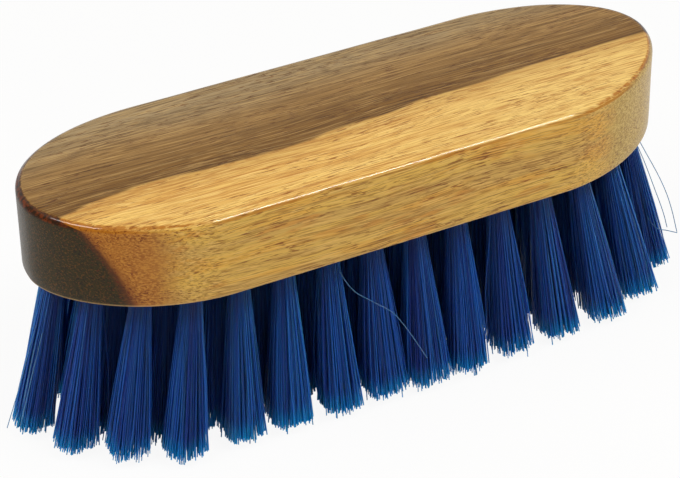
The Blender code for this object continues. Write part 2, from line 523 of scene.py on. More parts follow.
def grain_place(bench, amount):
    """Object coordinates, bent a little so that the grain isn't ruled."""
    place = bench.put("ShaderNodeTexCoord").outputs["Object"]
    bent = bench.put("ShaderNodeGroup", {}, node_tree=WANDERING_GRAIN)
    bench.feed(bent.inputs["Vector"], place)
    bench.feed(bent.inputs["Amount"], amount)
    return place, bent.outputs["Vector"]


def fibres(bench, place, length, width, shift, low, high):
    group = bench.put("ShaderNodeGroup", {}, node_tree=LONG_FIBRES)
    values = {"Vector": place, "Length": length, "Width": width, "Shift": shift, "Low": low, "High": high}
    for title, value in values.items():
        bench.feed(group.inputs[title], value)
    return group.outputs["Mask"]


print("groups:", LONG_FIBRES.name, WANDERING_GRAIN.name)

# %% [markdown]
# This block was sawn where the dark heartwood meets the golden sapwood. The border is a sheet
# through the solid wood, not a line on its surface, so it is written as a sheet here: one formula
# gives how far any point is into the heartwood. A curve of a few points gives its wander along the
# top. At the left end the sheet turns forwards under the rim, then slopes and bellies forwards on
# its way down. Fine fibres make its line ragged.

# %% Border between heartwood and sapwood
BORDER_REACH = 0.012
BORDER_SHARES = ((0.00, 0.04), (0.055, 0.22), (0.095, 0.35), (0.18, 0.45), (0.28, 0.33), (0.38, 0.32),
                 (0.47, 0.48), (0.55, 0.53), (0.61, 0.65), (0.70, 0.65), (0.77, 0.75), (1.00, 0.79))
TURN_FORWARDS = 0.0054
TURN_DEPTH = 0.0018
SLOPE_FROM = -0.070
SLOPE_TO = -0.030
BORDER_SLOPE_SHARE = 0.44
BORDER_BELLY = 0.0019
BORDER_RAGGED = 0.0006
BORDER_FEATHER = 0.00050
RAGGED_FIBRES = (0.030, 0.0010, 3.0, 0.3, 0.7)
RAGGED_SHARE_ON_ENDS = 0.4


def border_on_top(bench, along):
    """How far behind its front limit the border runs, as a share, at each place along the top."""
    from_left = bench.remap_evenly(along, -HALF_LENGTH, HALF_LENGTH)
    wander = bench.put("ShaderNodeFloatCurve", {"Value": from_left})
    points = wander.mapping.curves[0].points
    points[0].location = BORDER_SHARES[0]
    points[1].location = BORDER_SHARES[-1]
    for share in BORDER_SHARES[1:-1]:
        points.new(*share)
    wander.mapping.update()
    return wander.outputs[0]


def into_heartwood(bench, place, grain, end):
    """Distance in metres behind the border sheet: more than zero in the heartwood."""
    axis = bench.split(place)
    on_top = bench.minus(bench.times(border_on_top(bench, axis["X"]), BORDER_REACH), BORDER_REACH)
    below = bench.minus(TOP, axis["Z"])
    turned = bench.remap(below, 0.0, TURN_DEPTH, 0.0, TURN_FORWARDS)
    sloped = bench.times(below, BORDER_SLOPE_SHARE)
    half_wave = bench.math("SINE", bench.times(below, math.pi / (TOP - UNDERSIDE)))
    forwards = bench.plus(bench.plus(turned, sloped), bench.times(half_wave, BORDER_BELLY))
    at_left = bench.remap(axis["X"], SLOPE_FROM, SLOPE_TO, 1.0, 0.0)
    sheet = bench.minus(on_top, bench.times(forwards, at_left))
    ragged = bench.minus(fibres(bench, grain, *RAGGED_FIBRES), 0.5)
    ragged = bench.times(ragged, bench.remap_evenly(end, 0.0, 1.0, 1.0, RAGGED_SHARE_ON_ENDS))
    behind = bench.minus(axis["Y"], sheet)
    return bench.plus(behind, bench.times(ragged, BORDER_RAGGED))


print("the border is a curve of", len(BORDER_SHARES), "points")

# %% [markdown]
# Wood is painted in the order that the eye reads it: broad bands of tone, then ribbons and lines,
# then hair-fine fibres, and pores last. End grain has other colours than side grain, so the
# surface's own direction chooses between the two. The sapwood is the golden one of the two woods.

# %% Colours of the sapwood
# A layer of fibres is its length and width in metres, a shift of the noise, and the noise's limits
SAP_BANDS = (0.110, 0.0045, 7.0, 0.38, 0.62)
SAP_RIBBONS = (0.022, 0.0009, 11.0, 0.54, 0.68)
SAP_HAIRS = (0.008, 0.00028, 17.0, 0.50, 0.62)
SAP_LONG_LINES = (0.060, 0.00045, 19.0, 0.58, 0.68)
SAP_PALE_HAIRS = (0.014, 0.00034, 23.0, 0.52, 0.66)
SAP_GOLD = (0.040, 0.0035, 29.0, 0.50, 0.64)
SAP_AMBER = (0.018, 0.0040, 45.0, 0.60, 0.70)
SAP_END_DOTS = (0.0022, 0.00040, 31.0, 0.40, 0.62)
SAP_END_PATCHES = (0.0300, 0.0030, 33.0, 0.40, 0.62)
# A pair of colours is what a mask of 0 shows and what a mask of 1 shows
TOP_TONES = (paint(238, 197, 110), paint(221, 172, 90))
PALER_TOP = paint(234, 204, 126)
PALER_TOP_ALONG = (-0.020, 0.050)
SIDE_TONES = (paint(230, 186, 86), paint(210, 167, 86))
GOLD_PAINT = paint(230, 166, 58)
AMBER_PAINT = paint(212, 140, 50)
DARK_LINE = (paint(146, 94, 32), paint(172, 106, 38))
PALE_LINE = (paint(240, 198, 112), paint(252, 220, 138))
LONG_LINE_SHARES = (0.25, 0.55)
BORDER_BROWN = paint(160, 108, 46)
BORDER_BROWN_DEPTH = (-0.0070, -0.0005)
LEFT_END_TONES = (paint(158, 90, 24), paint(206, 142, 52))
LEFT_END_PATCH = paint(196, 128, 44)
RIGHT_END_TONES = (paint(180, 144, 66), paint(220, 190, 108))
LEFT_TO_RIGHT = (-0.085, 0.020)


def sapwood_face(bench, grain, upward, along, depth):
    """Gold wood cut along the grain, a little paler on the top than on the sides."""
    bands = fibres(bench, grain, *SAP_BANDS)
    top = bench.mix(bands, *TOP_TONES)
    top = bench.lay(top, PALER_TOP, bench.remap(along, *PALER_TOP_ALONG), 0.45)
    side = bench.mix(bands, *SIDE_TONES)
    side = bench.lay(side, GOLD_PAINT, fibres(bench, grain, *SAP_GOLD), 0.50)
    side = bench.lay(side, AMBER_PAINT, fibres(bench, grain, *SAP_AMBER), 0.55)
    face = bench.mix(upward, side, top)
    dark_line = bench.mix(upward, *DARK_LINE)
    pale_line = bench.mix(upward, *PALE_LINE)
    long_line_share = bench.remap_evenly(upward, 0.0, 1.0, *LONG_LINE_SHARES)
    face = bench.lay(face, dark_line, fibres(bench, grain, *SAP_RIBBONS), 0.45)
    face = bench.lay(face, dark_line, fibres(bench, grain, *SAP_LONG_LINES), long_line_share)
    face = bench.lay(face, dark_line, fibres(bench, grain, *SAP_HAIRS), 0.62)
    face = bench.lay(face, pale_line, fibres(bench, grain, *SAP_PALE_HAIRS), 0.65)
    return bench.lay(face, BORDER_BROWN, bench.remap(depth, *BORDER_BROWN_DEPTH), 0.42)


def sapwood_end(bench, grain, along):
    """Gold wood cut across the grain: amber on the left end, pale on the right one."""
    dots = fibres(bench, grain, *SAP_END_DOTS)
    left = bench.lay(*LEFT_END_TONES, dots, 0.75)
    left = bench.lay(left, LEFT_END_PATCH, fibres(bench, grain, *SAP_END_PATCHES), 0.35)
    right = bench.lay(*RIGHT_END_TONES, dots, 0.8)
    return bench.mix(bench.remap(along, *LEFT_TO_RIGHT), left, right)


def sapwood(bench, grain, end, upward, along, depth):
    face = sapwood_face(bench, grain, upward, along, depth)
    return bench.mix(end, face, sapwood_end(bench, grain, along))


print("sapwood is painted in nine layers of fibres")

# %% [markdown]
# Heartwood is the same wood with its cells full of darker matter. Most of its layers multiply the
# colour below them instead of covering it, as stain does, so the grain stays deep. It is brown
# beside the border and greyer far behind it, and its end grain is nearly black.

# %% Colours of the heartwood
# Bands, ribbons, dark hairs and pale hairs: the fibres, their share, how they are laid, their colour
HEART_LAYERS = (
    ((0.160, 0.0035, 41.0, 0.36, 0.64), 0.42, "MULTIPLY", paint(206, 196, 184)),
    ((0.060, 0.0010, 42.0, 0.46, 0.66), 0.34, "MULTIPLY", paint(182, 166, 142)),
    ((0.026, 0.00034, 43.0, 0.48, 0.64), 0.66, "MULTIPLY", paint(152, 132, 108)),
    ((0.030, 0.00036, 47.0, 0.50, 0.66), 0.36, "MIX", paint(214, 176, 112)))
HEART_END_DOTS = (0.0022, 0.00040, 53.0, 0.50, 0.66)
HEART_END_SPECKS = (0.0022, 0.00055, 57.0, 0.52, 0.66)
PORE_DASHES = (0.0042, 0.00036, 61.0, 0.58, 0.64)
PORE_CLUSTERS = (0.030, 0.0060, 67.0, 0.36, 0.56)
HEART_TONES = (paint(125, 88, 38), paint(157, 121, 70))
HEART_TONES_DEPTH = (0.003, 0.019)
FAR_HEART = paint(162, 139, 102)
FAR_HEART_DEPTH = (0.016, 0.030)
HEART_SIDE = paint(70, 48, 24)
HEART_END_TONES = (paint(50, 42, 8), paint(96, 60, 12))
SPECK_PAINT = paint(18, 16, 8)


def heartwood(bench, grain, end, upward, depth):
    face = bench.mix(bench.remap(depth, *HEART_TONES_DEPTH), *HEART_TONES)
    face = bench.mix(bench.remap(depth, *FAR_HEART_DEPTH), face, FAR_HEART)
    for layer, share, blend, colour in HEART_LAYERS:
        face = bench.lay(face, colour, fibres(bench, grain, *layer), share, blend)
    face = bench.lay(face, HEART_SIDE, bench.minus(1.0, upward), 0.6)
    across = bench.lay(*HEART_END_TONES, fibres(bench, grain, *HEART_END_DOTS), 0.9)
    across = bench.lay(across, SPECK_PAINT, fibres(bench, grain, *HEART_END_SPECKS), 0.6)
    return bench.mix(end, face, across)


def pores(bench, grain):
    """Short dark dashes along the grain, dots on the ends."""
    return bench.times(fibres(bench, grain, *PORE_DASHES), fibres(bench, grain, *PORE_CLUSTERS))


print("heartwood is painted in six layers of fibres, and both woods share their pores")

# %% [markdown]
# Lacquer sits on top of the colour, so the finish is a Principled shader with a coat. The wood's
# own shine is kept low and the coat does the mirroring: much of it along the front rim, where the
# highlight runs, and little on the ends, where the end grain drinks it. The end grain also turns
# redder beside the border. Along the rims the photograph shows a darker line, broken on the ends.

# %% Lacquered and bare wood
GRAIN_WANDER = 0.006
# Limits of the surface's own direction: 1 is straight up, or straight along the block
UPWARD_FACES = (0.30, 0.75)
END_FACES = (0.24, 0.42)
LEFT_FACES = (-0.60, -0.40)
RIGHT_FACES = (0.30, 0.60)
EASED_RIM = ((0.15, 0.35), (0.80, 0.97))
EDGE_LINE = ((0.60, 0.78), (0.94, 0.99))
UNDER_EDGE = ((0.28, 0.42), (0.60, 0.70))
LINE_STARTS = (0.05, 0.20)
BROKEN_LINE = (0.0018, 0.0010, 37.0, 0.34, 0.60)
FRONT_STRETCHES = (0.036, 0.0500, 39.0, 0.46, 0.58)
LEAST_LINE = 0.25
MOST_LINE = 0.85
FRONT_LINE_SHARE = 0.7
RIGHT_LINE_LOSS = 0.35
GOLD_RIM = (paint(176, 108, 26), paint(118, 78, 22))
DARK_RIM = (paint(112, 46, 10), paint(44, 20, 6))
END_SPOTS = (0.0012, 0.00060, 35.0, 0.60, 0.66)
STAIN_WIDTH = 0.0022
SPOTS_NEAR = (0.001, 0.006)
END_STAIN = paint(116, 56, 18)
SPOT_RED = paint(104, 36, 12)
# Painted light: the floor's bounce and reflection on the eased lower rim, below these heights above the
# underside
LOWER_RIM_BOUNCE_HEIGHTS = (0.00036, 0.0009)
PAINTED_FLOOR_BOUNCE = paint(222, 184, 124)
PORE_STAIN = paint(158, 110, 60)
RELIEF_FIBRES = (0.014, 0.00042, 71.0, 0.3, 0.8)
RELIEF_DEPTH = 0.00006
RIM_VARNISH = 0.57
FACE_VARNISH = 0.28
END_VARNISH = 0.16
BARE_STREAKS = (0.012, 0.0007, 5.0, 0.35, 0.70)
BARE_TONES = (paint(176, 128, 66), paint(120, 80, 40))
BARE_RELIEF_DEPTH = 0.0001


def stained_ends(bench, grain, end, depth, colour):
    """The end grain's red: along the border, and in spots that are closest together beside it."""
    off_border = bench.math("ABSOLUTE", depth)
    beside = bench.times(bench.remap(off_border, 0.0, STAIN_WIDTH, 1.0, 0.0), end)
    colour = bench.lay(colour, END_STAIN, beside, 0.55)
    spots = bench.times(fibres(bench, grain, *END_SPOTS), end)
    spots = bench.times(spots, bench.remap(off_border, *SPOTS_NEAR, 1.0, 0.15))
    return bench.lay(colour, SPOT_RED, spots, 0.8)


def darkened_rims(bench, grain, facing, heart, easing, at_left, at_right, colour):
    """The line that lacquer leaves on the rims: full on the left end, fainter on the right one."""
    lengthways = bench.math("ABSOLUTE", facing["X"])
    broken = fibres(bench, grain, *BROKEN_LINE)
    on_ends = bench.times(bench.remap(lengthways, *LINE_STARTS), bench.plus(broken, LEAST_LINE))
    on_ends = bench.times(bench.window(facing["Z"], *EDGE_LINE), on_ends)
    stretches = fibres(bench, grain, *FRONT_STRETCHES)
    on_front = bench.times(stretches, bench.window(facing["Z"], *UNDER_EDGE))
    line = bench.larger(on_ends, bench.times(on_front, FRONT_LINE_SHARE))
    line = bench.larger(line, bench.times(easing, at_left))
    line = bench.times(line, bench.minus(1.0, bench.times(at_right, RIGHT_LINE_LOSS)))
    line_colour = bench.mix(heart, bench.mix(at_right, *GOLD_RIM), bench.mix(broken, *DARK_RIM))
    return bench.mix(bench.math("MINIMUM", line, MOST_LINE), colour, line_colour)


def varnish(bench, easing, at_left, at_right):
    """How much of the coat mirrors: most along the front rim, least on the ends."""
    at_either = bench.larger(at_left, bench.times(at_right, 0.5))
    on_rim = bench.times(bench.remap(easing, 0.0, 0.5, 0.0, RIM_VARNISH), bench.minus(1.0, at_either))
    return bench.plus(on_rim, bench.remap_evenly(at_either, 0.0, 1.0, FACE_VARNISH, END_VARNISH))


def wood_colour(bench, place, grain, facing):
    """Both woods and the red of their ends, and the mask that tells which wood it is."""
    axis = bench.split(place)
    upward = bench.remap(facing["Z"], *UPWARD_FACES)
    end = bench.remap(bench.math("ABSOLUTE", facing["X"]), *END_FACES)
    depth = into_heartwood(bench, place, grain, end)
    heart = bench.remap(depth, -BORDER_FEATHER, BORDER_FEATHER)
    gold = sapwood(bench, grain, end, upward, axis["X"], depth)
    colour = bench.mix(heart, gold, heartwood(bench, grain, end, upward, depth))
    return stained_ends(bench, grain, end, depth, colour), heart


def lacquered_wood():
    finish, bench = new_material("lacquered_two_tone_wood")
    place, grain = grain_place(bench, GRAIN_WANDER)
    facing = bench.split(bench.put("ShaderNodeTexCoord").outputs["Normal"])
    easing = bench.window(facing["Z"], *EASED_RIM)
    at_left = bench.remap(facing["X"], *LEFT_FACES, 1.0, 0.0)
    at_right = bench.remap(facing["X"], *RIGHT_FACES)
    colour, heart = wood_colour(bench, place, grain, facing)
    colour = darkened_rims(bench, grain, facing, heart, easing, at_left, at_right, colour)
    height = bench.minus(bench.split(place)["Z"], UNDERSIDE)
    # Painted light of the floor's bounce and reflection, paler just above the underside
    colour = bench.lay(colour, PAINTED_FLOOR_BOUNCE, bench.remap(height, *LOWER_RIM_BOUNCE_HEIGHTS, 1.0, 0.0), 0.45)
    pits = pores(bench, grain)
    colour = bench.lay(colour, PORE_STAIN, pits, 0.80, "MULTIPLY")
    relief = fibres(bench, grain, *RELIEF_FIBRES)
    surface = bench.minus(bench.times(relief, 0.35), pits)
    bump = bench.put("ShaderNodeBump", {"Strength": 0.35, "Distance": RELIEF_DEPTH, "Height": surface})
    skin = bench.put("ShaderNodeBsdfPrincipled", {
        "Base Color": colour, "Roughness": bench.remap(relief, 0.0, 1.0, 0.36, 0.48),
        "Normal": bump.outputs[0], "Specular IOR Level": 0.12,
        "Coat Weight": varnish(bench, easing, at_left, at_right), "Coat Roughness": 0.06, "Coat IOR": 1.5})
    bench.put("ShaderNodeOutputMaterial", {"Surface": skin.outputs[0]})
    return finish


def drilled_wood():
    finish, bench = new_material("bare_drilled_wood")
    _, grain = grain_place(bench, GRAIN_WANDER)
    streaks = fibres(bench, grain, *BARE_STREAKS)
    bump = bench.put("ShaderNodeBump", {"Strength": 0.5, "Distance": BARE_RELIEF_DEPTH, "Height": streaks})
    skin = bench.put("ShaderNodeBsdfPrincipled", {
        "Base Color": bench.mix(streaks, *BARE_TONES), "Roughness": 0.85,
        "Normal": bump.outputs[0], "Specular IOR Level": 0.2})
    bench.put("ShaderNodeOutputMaterial", {"Surface": skin.outputs[0]})
    return finish


print("lacquer: weight", FACE_VARNISH, "on the faces and", END_VARNISH, "on the ends")

# %% [markdown]
# The Boolean runs once, its result becomes a plain mesh, and the drill is removed. Sharp edges
# at the holes' mouths keep the flat underside flat in the light.

# %% Drill and finish the block
SHARP_ABOVE = math.radians(32)


def baked(obj):
    """The evaluated mesh of an object as plain data, without its modifiers."""
    bpy.context.view_layer.update()
    graph = bpy.context.evaluated_depsgraph_get()
    final = obj.evaluated_get(graph)
    return bpy.data.meshes.new_from_object(final, preserve_all_data_layers=True, depsgraph=graph)


drill = hole_drill()
block.data.materials.append(lacquered_wood())
drill.data.materials.append(drilled_wood())
cut = block.modifiers.new("tuft_holes", "BOOLEAN")
cut.operation = "DIFFERENCE"
cut.solver = "EXACT"
cut.material_mode = "TRANSFER"
cut.object = drill
drilled_mesh = baked(block)
block.modifiers.clear()
block.data = drilled_mesh
block.data.name = "wooden_block"
block.data.shade_smooth()
block.data.set_sharp_from_angle(angle=SHARP_ABOVE)
bpy.data.objects.remove(drill, do_unlink=True)
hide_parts("brush_block")
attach(block, "root")
print("block has", len(block.data.polygons), "faces and", len(block.data.materials), "finishes")

# %% [markdown]
# The filaments are blue plastic, slightly clear, so light gathers in their tips and along a tuft's
# outside. Geometry Nodes hands each filament two numbers as attributes, and the finish reads them:
# how far along it a point is, and its own shade. By the first it paints shade deep in the tuft, near
# the hole, and a glow of light towards the tip. A second, paler finish is for the few filaments that
# stand alone: its paler colours paint the light that shines through them.

# %% Finish of the filaments
# Places along a filament go from 0 at the mouth to 1 at the tip
# Painted shade: how far along the filament the darker colour near the hole reaches, and its share at the
# mouth
ROOT_SHADE_ENDS_AT = 0.40
ROOT_SHADE_SHARE = 0.40
# Painted glow: where the light that shines through the tips begins, and its share at the very tip
TIP_GLOW_STARTS_AT = 0.85
TIP_GLOW_SHARE = 0.95
GLOW_DEPTH = 0.0014
GLOW_RADII = (0.2, 0.7, 1.0)


def filament_finish(name, dark, light, deep, tip):
    """Plastic between a dark and a light tone, with painted shade deep in the tuft and a painted glow at the
    tip.
    """
    finish, bench = new_material(name)
    read = {title: bench.put("ShaderNodeAttribute", {}, attribute_name=title).outputs["Fac"]
            for title in ("along", "shade")}
    colour = bench.mix(read["shade"], dark, light)
    # Painted shade deep in the tuft, strongest at the hole's mouth and gone a share of the way along
    colour = bench.mix(bench.remap(read["along"], 0.0, ROOT_SHADE_ENDS_AT, ROOT_SHADE_SHARE, 0.0), colour, deep)
    # Painted glow of the light that shines through the last part of the filament to its tip
    colour = bench.mix(bench.remap(read["along"], TIP_GLOW_STARTS_AT, 1.0, 0.0, TIP_GLOW_SHARE), colour, tip)
    skin = bench.put("ShaderNodeBsdfPrincipled", {
        "Base Color": colour, "Roughness": 0.42, "Specular IOR Level": 0.25,
        "Subsurface Weight": 0.75, "Subsurface Scale": GLOW_DEPTH, "Subsurface Radius": GLOW_RADII})
    bench.put("ShaderNodeOutputMaterial", {"Surface": skin.outputs[0]})
    return finish


# deep is painted shade near the hole and tip a painted glow of light; dark and light are random tones
BLUE_FILAMENT = filament_finish("blue_filament", dark=paint(20, 36, 120), light=paint(30, 92, 190),
                                deep=paint(10, 26, 88), tip=paint(0, 130, 216))
# The stray finish's paler colours paint the light that shines through lone filaments
PALE_FILAMENT = filament_finish("pale_stray_filament", dark=paint(44, 72, 120), light=paint(92, 124, 166),
                                deep=paint(60, 92, 140), tip=paint(60, 112, 150))
print("filament finishes:", BLUE_FILAMENT.name, PALE_FILAMENT.name)

# %% [markdown]
# A tuft follows a rule: filaments packed in a round hole fan out to a wider, ragged circle of tips.
# That is what Geometry Nodes is for. One point for each filament lies on a sunflower spiral, which
# fills a disc evenly. Each point keeps its root, its tip and a little bow as attributes. A short
# curve stands on every point, is bent to run from root to tip, and gets a four-sided skin.

# %% Geometry Nodes tree of a fanned tuft
GOLDEN_ANGLE = math.pi * (3 - math.sqrt(5))
CURVE_POINTS = 7
FILAMENT_SIDES = 4
OUTWARDS_POWER = 0.43
SQUARE_POWER = 4.0
STRAY_SHARE = 0.02
STRAY_GAIN = 2.5
LONG_SHARE = 0.05
LEAST_LONG = 0.5
UNEVEN_LOW = -0.5
UNEVEN_HIGH = 0.1
BUNCH_SHIFT = 7.3
BUNCH_SHADE_SHARE = 0.7
THINNEST = 0.9
THICKNESS_SPREAD = 0.2
# The arch along x along x (1 - along) is 4/27 at its highest, so this brings its height to 1
ARCH_GAIN = 27 / 4
# A curve's second point is at the mouth, and rounding may put it a hair inside
MOUTH_MARGIN = 0.01

TUFT_SOCKETS = {
    "NodeSocketInt": ("Filaments", "Seed"),
    "NodeSocketVector": ("Mouth", "Floor Middle"),
    "NodeSocketFloat": ("Root Radius", "Tip Radius", "Tip Height", "Depth", "Thickness", "Ragged",
                        "Scatter", "Bow", "Clump Size", "Clumping"),
    "NodeSocketMaterial": ("Finish",)}
RANDOM_USES = ("is stray", "scatter angle", "scatter", "uneven", "is long", "bow", "bow angle",
               "shade", "longer")


def random_number(bench, given, use, low=0.0, high=1.0):
    """A number of each filament's own. Every use adds its own number to the seed, so none is alike."""
    seed = bench.plus(given["Seed"], RANDOM_USES.index(use) + 1)
    inputs = {2: low, 3: high, "Seed": seed}
    return bench.put("FunctionNodeRandomValue", inputs, data_type="FLOAT").outputs[1]


def keep(bench, geometry, name, value, kind="FLOAT"):
    inputs = {"Geometry": geometry, "Name": name, "Value": value}
    return bench.put("GeometryNodeStoreNamedAttribute", inputs, data_type=kind, domain="POINT").outputs[0]


def recall(bench, name, kind="FLOAT"):
    return bench.put("GeometryNodeInputNamedAttribute", {"Name": name}, data_type=kind).outputs[0]


def on_disc(bench, angle, radius):
    x = bench.times(bench.math("COSINE", angle), radius)
    return bench.joined(x, bench.times(bench.math("SINE", angle), radius))


def squareness(bench, angle):
    """How much further out a squarish fan reaches than a round one: neighbours press a tuft square."""
    sides = [bench.math("POWER", bench.math("ABSOLUTE", bench.math(turn, angle)), SQUARE_POWER)
             for turn in ("COSINE", "SINE")]
    return bench.math("POWER", bench.plus(*sides), -1 / SQUARE_POWER)


def clumps(bench, given, spot):
    """Filaments cling together: the middle of a filament's bunch, and the bunch's own number."""
    shift = bench.joined(bench.times(given["Seed"], BUNCH_SHIFT))
    inputs = {"Vector": bench.vector("ADD", spot, shift), "Scale": bench.divided(1.0, given["Clump Size"])}
    cells = bench.put("ShaderNodeTexVoronoi", inputs, voronoi_dimensions="2D").outputs
    return bench.vector("SUBTRACT", cells["Position"], shift), bench.split(cells["Color"])["X"]


def fan_place(bench, given, spot, angle, bunch_middle):
    """Where a filament's place in the tuft meets the floor, drawn towards the middle of its bunch."""
    drawn_in = bench.scaled(bench.vector("SUBTRACT", bunch_middle, spot), given["Clumping"])
    pressed = bench.times(given["Tip Radius"], squareness(bench, angle))
    fan = bench.scaled(bench.vector("ADD", spot, drawn_in), pressed)
    return bench.vector("ADD", given["Floor Middle"], fan)


def tip_height(bench, given, bunch_number):
    """How far above the floor a tip ends: by bunch and by filament, with a few long ones."""
    uneven = bench.plus(bunch_number, random_number(bench, given, "uneven", UNEVEN_LOW, UNEVEN_HIGH))
    height = bench.plus(given["Tip Height"], bench.times(uneven, given["Ragged"]))
    long_one = bench.math("GREATER_THAN", random_number(bench, given, "is long"), 1 - LONG_SHARE)
    longer = bench.times(given["Tip Height"], random_number(bench, given, "longer", LEAST_LONG, 1.0))
    return bench.larger(bench.minus(height, bench.times(long_one, longer)), 0.0)


def sideways(bench, given, size, wild, use):
    """A step to one side, in any direction, up to a size that is larger for a stray filament."""
    step = bench.times(bench.times(size, wild), random_number(bench, given, use))
    return on_disc(bench, random_number(bench, given, use + " angle", 0.0, 2 * math.pi), step)


def filament_points(bench, given):
    """One point for each filament, which knows its root, its tip, its bow and its shade."""
    index = bench.put("GeometryNodeInputIndex").outputs[0]
    share = bench.divided(bench.plus(index, 0.5), given["Filaments"])
    angle = bench.plus(bench.times(index, GOLDEN_ANGLE), given["Seed"])
    spot = on_disc(bench, angle, bench.math("POWER", share, OUTWARDS_POWER))
    bunch_middle, bunch_number = clumps(bench, given, spot)
    stray = bench.math("GREATER_THAN", random_number(bench, given, "is stray"), 1 - STRAY_SHARE)
    wild = bench.plus(bench.times(stray, STRAY_GAIN), 1.0)
    root = bench.vector("ADD", given["Mouth"], bench.scaled(spot, given["Root Radius"]))
    floor_spot = bench.vector("ADD", fan_place(bench, given, spot, angle, bunch_middle),
                              sideways(bench, given, given["Scatter"], wild, "scatter"))
    raised = bench.joined(z=tip_height(bench, given, bunch_number))
    tip = bench.vector("ADD", floor_spot, raised)
    bow = sideways(bench, given, given["Bow"], wild, "bow")
    own_shade = random_number(bench, given, "shade", 0.0, 1 - BUNCH_SHADE_SHARE)
    shade = bench.plus(bench.times(bunch_number, BUNCH_SHADE_SHARE), own_shade)
    points = bench.put("GeometryNodePoints", {"Count": given["Filaments"]}).outputs[0]
    for name, value in (("root", root), ("tip", tip), ("bow", bow)):
        points = keep(bench, points, name, value, "FLOAT_VECTOR")
    return keep(bench, points, "shade", shade)


def bent_curves(bench, given, points):
    """A curve on each point, from deep in the hole, out through the mouth, to the tip."""
    straight = bench.put("GeometryNodeCurvePrimitiveLine", {"End": (0, 0, 1)}).outputs[0]
    short = bench.put("GeometryNodeResampleCurve", {"Curve": straight, "Count": CURVE_POINTS}).outputs[0]
    placed = bench.put("GeometryNodeInstanceOnPoints", {"Points": points, "Instance": short}).outputs[0]
    curves = bench.put("GeometryNodeRealizeInstances", {"Geometry": placed}).outputs[0]
    factor = bench.put("GeometryNodeSplineParameter").outputs["Factor"]
    past_mouth = bench.minus(bench.times(factor, CURVE_POINTS - 1), 1.0)
    free = bench.divided(past_mouth, CURVE_POINTS - 2.0)
    along = bench.larger(free, 0.0)
    curves = keep(bench, curves, "along", along)
    root = recall(bench, "root", "FLOAT_VECTOR")
    fall = bench.scaled(bench.vector("SUBTRACT", recall(bench, "tip", "FLOAT_VECTOR"), root), along)
    arch = bench.times(bench.times(along, along), bench.minus(1.0, along))
    bowed = bench.scaled(recall(bench, "bow", "FLOAT_VECTOR"), bench.times(arch, ARCH_GAIN))
    up_hole = bench.vector("NORMALIZE", bench.vector("SUBTRACT", given["Mouth"], given["Floor Middle"]))
    inside = bench.math("LESS_THAN", free, -MOUTH_MARGIN)
    sunk = bench.scaled(up_hole, bench.times(inside, given["Depth"]))
    place = bench.vector("ADD", bench.vector("ADD", root, fall), bench.vector("ADD", bowed, sunk))
    return bench.put("GeometryNodeSetPosition", {"Geometry": curves, "Position": place}).outputs[0]


def filament_skin(bench, given, curves):
    """A closed four-sided tube on each curve, no two quite alike in thickness."""
    size = bench.plus(bench.times(recall(bench, "shade"), THICKNESS_SPREAD), THINNEST)
    ring = bench.put("GeometryNodeCurvePrimitiveCircle", {"Resolution": FILAMENT_SIDES}).outputs[0]
    bench.feed(ring.node.inputs["Radius"], bench.divided(given["Thickness"], 2.0))
    skin = bench.put("GeometryNodeCurveToMesh", {"Curve": curves, "Profile Curve": ring, "Scale": size,
                                                 "Fill Caps": True}).outputs[0]
    for name in ("root", "tip", "bow"):
        skin = bench.put("GeometryNodeRemoveAttribute", {"Geometry": skin, "Name": name}).outputs[0]
    return skin


def tuft_tree():
    tree = bpy.data.node_groups.new("fanned_tuft", "GeometryNodeTree")
    for kind, titles in TUFT_SOCKETS.items():
        for title in titles:
            tree.interface.new_socket(title, in_out="INPUT", socket_type=kind)
    tree.interface.new_socket("Geometry", in_out="OUTPUT", socket_type="NodeSocketGeometry")
    bench = Bench(tree)
    given = bench.put("NodeGroupInput").outputs
    skin = filament_skin(bench, given, bent_curves(bench, given, filament_points(bench, given)))
    real = bench.put("GeometryNodeRealizeInstances", {"Geometry": skin}).outputs[0]
    finished = bench.put("GeometryNodeSetMaterial", {"Geometry": real, "Material": given["Finish"]})
    bench.put("NodeGroupOutput", {"Geometry": finished.outputs[0]})
    return tree


TUFT_TREE = tuft_tree()
print("tuft tree has", len(TUFT_TREE.nodes), "nodes")

# %% [markdown]
# Fifty-eight tufts come from the one tree. Each gets its own mouth, floor point and seed, is turned
# into a plain mesh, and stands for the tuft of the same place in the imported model. A real tuft never
# leans quite as its hole does, so each drifts a little at random. The front tufts of both rings show
# well in the photograph, so their drifts were read from it instead.

# %% Make the tufts
FILAMENT_THICKNESS = 0.00031
TUFT_INPUTS = {
    "Filaments": 380, "Thickness": FILAMENT_THICKNESS, "Root Radius": HOLE_RADIUS - FILAMENT_THICKNESS / 2,
    "Depth": HOLE_DEPTH - FILAMENT_THICKNESS, "Tip Height": 0.0021, "Ragged": 0.0011, "Scatter": 0.0006,
    "Bow": 0.0006, "Clump Size": 0.20, "Clumping": 0.28, "Finish": BLUE_FILAMENT}
TIP_RADIUS = 0.0056
TUFT_DRIFT = 0.0008
END_DRAWN_IN_SHARE = 0.12
TUFT_SWELL = 0.07
